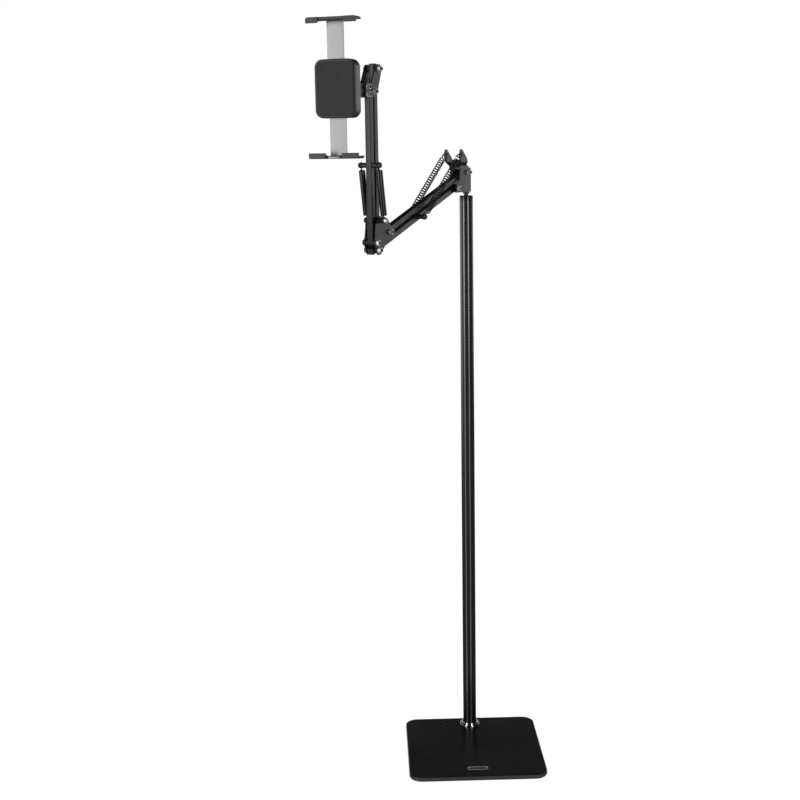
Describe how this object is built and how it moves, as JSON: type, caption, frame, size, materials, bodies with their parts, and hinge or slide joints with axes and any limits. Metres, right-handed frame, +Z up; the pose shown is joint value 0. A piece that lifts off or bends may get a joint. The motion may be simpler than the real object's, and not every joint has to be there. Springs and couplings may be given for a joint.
{
  "type": "adjustable arm phone stand",
  "caption": "Adjustable floor stand for a phone or tablet: square plate, round pole, sprung parallel arm and a turning holder with two jaws.",
  "frame": {"origin": "centre of the base pad's underside, on the floor", "axes": "+Z up, -Y towards the front, where the oval badge is, +X to the right as seen from the front"},
  "size_m": [0.3774, 0.4098, 1.2613],
  "materials": {
    "black_paint": "satin black powder coat",
    "pole_paint": "glossy black paint",
    "base_paint": "fine satin black",
    "zinc": "bright zinc plate",
    "chrome": "polished",
    "black_steel": "black oxide, satin",
    "rail_steel": "plain bright steel",
    "plastic": "fine matte black",
    "sleeve_plastic": "smooth black",
    "rubber": "matte black",
    "badge_metal": "bare brushed oval"
  },
  "bodies": {
    "stand": {"base_plate": "base_paint", "base_pad": "rubber", "badge": "badge_metal", "foot_collar": "chrome", "pole_screw": "zinc", "pole_foot_nut": "black_steel", "lower_pole": "pole_paint", "upper_pole": "pole_paint", "pole_joiner": "black_steel", "pole_cap": "plastic"},
    "arm_base": {"arm_bracket": "black_paint", "swivel_pin": "black_steel", "bracket_bolts": "black_steel", "bracket_nuts": "zinc", "bracket_washers": "zinc"},
    "lower_link": {"lower_tube": "black_paint", "lower_tube_plugs": "plastic", "lower_spring_pin": "black_steel"},
    "upper_link": {"upper_tube": "black_paint", "upper_tube_plugs": "plastic"},
    "bare_springs": {"near_spring": "black_steel", "far_spring": "black_steel"},
    "elbow": {"elbow_plates": "black_paint", "elbow_bolts": "black_steel", "elbow_nuts": "zinc", "elbow_washers": "zinc", "elbow_spring_pin": "black_steel", "dome_nut": "zinc"},
    "front_link": {"front_tube": "black_paint", "front_tube_plugs": "plastic", "upper_spring_pin": "black_steel"},
    "rear_link": {"rear_tube": "black_paint", "rear_tube_plugs": "plastic"},
    "sleeves": {"spring_sleeves": "sleeve_plastic", "sleeve_hooks": "black_steel"},
    "cores": {"spring_cores": "black_steel"},
    "head": {"head_plates": "black_paint", "head_bolts": "black_steel", "head_nuts": "zinc", "head_washers": "zinc", "head_block": "plastic"},
    "yoke": {"swivel_yoke": "plastic", "yoke_pin": "zinc"},
    "tilt": {"tilt_block": "plastic", "tilt_bolt": "zinc", "spin_washer": "zinc", "spin_nut": "zinc"},
    "knob": {"tilt_knob": "plastic"},
    "holder": {"holder_back": "plastic", "holder_front": "plastic", "face_pad": "rubber", "grip_springs": "rail_steel", "grip_spring_pins": "rail_steel"},
    "upper_jaw_slide": {"upper_jaw": "plastic", "upper_rail": "rail_steel", "upper_jaw_pad": "rubber"},
    "lower_jaw_slide": {"lower_jaw": "plastic", "lower_rail": "rail_steel", "lower_jaw_pads": "rubber", "jaw_bar": "rail_steel"}
  },
  "joints": [
    {"name": "arm_swivel", "type": "hinge", "parent": "stand", "child": "arm_base", "pos_m": [0, 0.097, 0.9975], "axis": [0, 0, 1], "continuous": true},
    {"name": "lower_arm_lift", "type": "hinge", "parent": "arm_base", "child": "lower_link", "pos_m": [-0.02536, 0.05795, 1.00462], "axis": [-0.8387, 0.5446, 0], "range_deg": [-4, 25]},
    {"name": "upper_link_turn", "type": "hinge", "parent": "arm_base", "child": "upper_link", "pos_m": [-0.00643, 0.0871, 1.0311], "axis": [-0.8387, 0.5446, 0], "range_deg": [-4, 25]},
    {"name": "bare_spring_turn", "type": "hinge", "parent": "arm_base", "child": "bare_springs", "pos_m": [-0.02411, 0.05988, 1.06342], "axis": [-0.8387, 0.5446, 0], "range_deg": [-3.2, 19.8], "deforming": ["near_spring", "far_spring"]},
    {"name": "elbow_level", "type": "hinge", "parent": "lower_link", "child": "elbow", "pos_m": [-0.16507, -0.15718, 0.91814], "axis": [-0.8387, 0.5446, 0], "range_deg": [-25, 4]},
    {"name": "upper_arm_lean", "type": "hinge", "parent": "elbow", "child": "front_link", "pos_m": [-0.16746, -0.16087, 0.92994], "axis": [0.8387, -0.5446, 0], "range_deg": [-4, 60]},
    {"name": "rear_link_turn", "type": "hinge", "parent": "elbow", "child": "rear_link", "pos_m": [-0.16035, -0.14991, 0.96381], "axis": [0.8387, -0.5446, 0], "range_deg": [-4, 60]},
    {"name": "sleeve_turn", "type": "hinge", "parent": "elbow", "child": "sleeves", "pos_m": [-0.16035, -0.14991, 0.96381], "axis": [0.8387, -0.5446, 0], "range_deg": [-4.8, 70.9], "deforming": ["spring_sleeves", "sleeve_hooks"]},
    {"name": "core_turn", "type": "hinge", "parent": "front_link", "child": "cores", "pos_m": [-0.16746, -0.16087, 1.04894], "axis": [0.8387, -0.5446, 0], "range_deg": [-0.8, 10.9], "deforming": ["spring_cores"]},
    {"name": "head_level", "type": "hinge", "parent": "front_link", "child": "head", "pos_m": [-0.16746, -0.16087, 1.15994], "axis": [0.8387, -0.5446, 0], "range_deg": [-60, 4]},
    {"name": "head_swivel", "type": "hinge", "parent": "head", "child": "yoke", "pos_m": [-0.1917, -0.19819, 1.16094], "axis": [0, 0, 1], "range_deg": [-90, 75]},
    {"name": "head_tilt", "type": "hinge", "parent": "yoke", "child": "tilt", "pos_m": [-0.20151, -0.22442, 1.16094], "axis": [0.9367, -0.3502, 0], "range_deg": [-45, 45]},
    {"name": "knob_turn", "type": "hinge", "parent": "tilt", "child": "knob", "pos_m": [-0.19214, -0.22792, 1.16094], "axis": [0.9367, -0.3502, 0], "continuous": true},
    {"name": "holder_spin", "type": "hinge", "parent": "tilt", "child": "holder", "pos_m": [-0.20851, -0.24315, 1.16094], "axis": [-0.3502, -0.9367, 0], "continuous": true},
    {"name": "jaw_grip", "type": "slide", "parent": "holder", "child": "upper_jaw_slide", "axis": [0, 0, 1], "range_m": [-0.052, 0.012]},
    {"name": "lower_jaw_grip", "type": "slide", "parent": "holder", "child": "lower_jaw_slide", "axis": [0, 0, -1], "range_m": [-0.052, 0.012]}
  ],
  "couplings": [
    {"joint": "upper_link_turn", "follows": "lower_arm_lift", "ratio": 1},
    {"joint": "bare_spring_turn", "follows": "lower_arm_lift", "ratio": 0.79},
    {"joint": "elbow_level", "follows": "lower_arm_lift", "ratio": -1},
    {"joint": "rear_link_turn", "follows": "upper_arm_lean", "ratio": 1},
    {"joint": "sleeve_turn", "follows": "upper_arm_lean", "ratio": 1.18},
    {"joint": "core_turn", "follows": "upper_arm_lean", "ratio": 0.18},
    {"joint": "head_level", "follows": "upper_arm_lean", "ratio": -1},
    {"joint": "lower_jaw_grip", "follows": "jaw_grip", "ratio": 1}
  ]
}
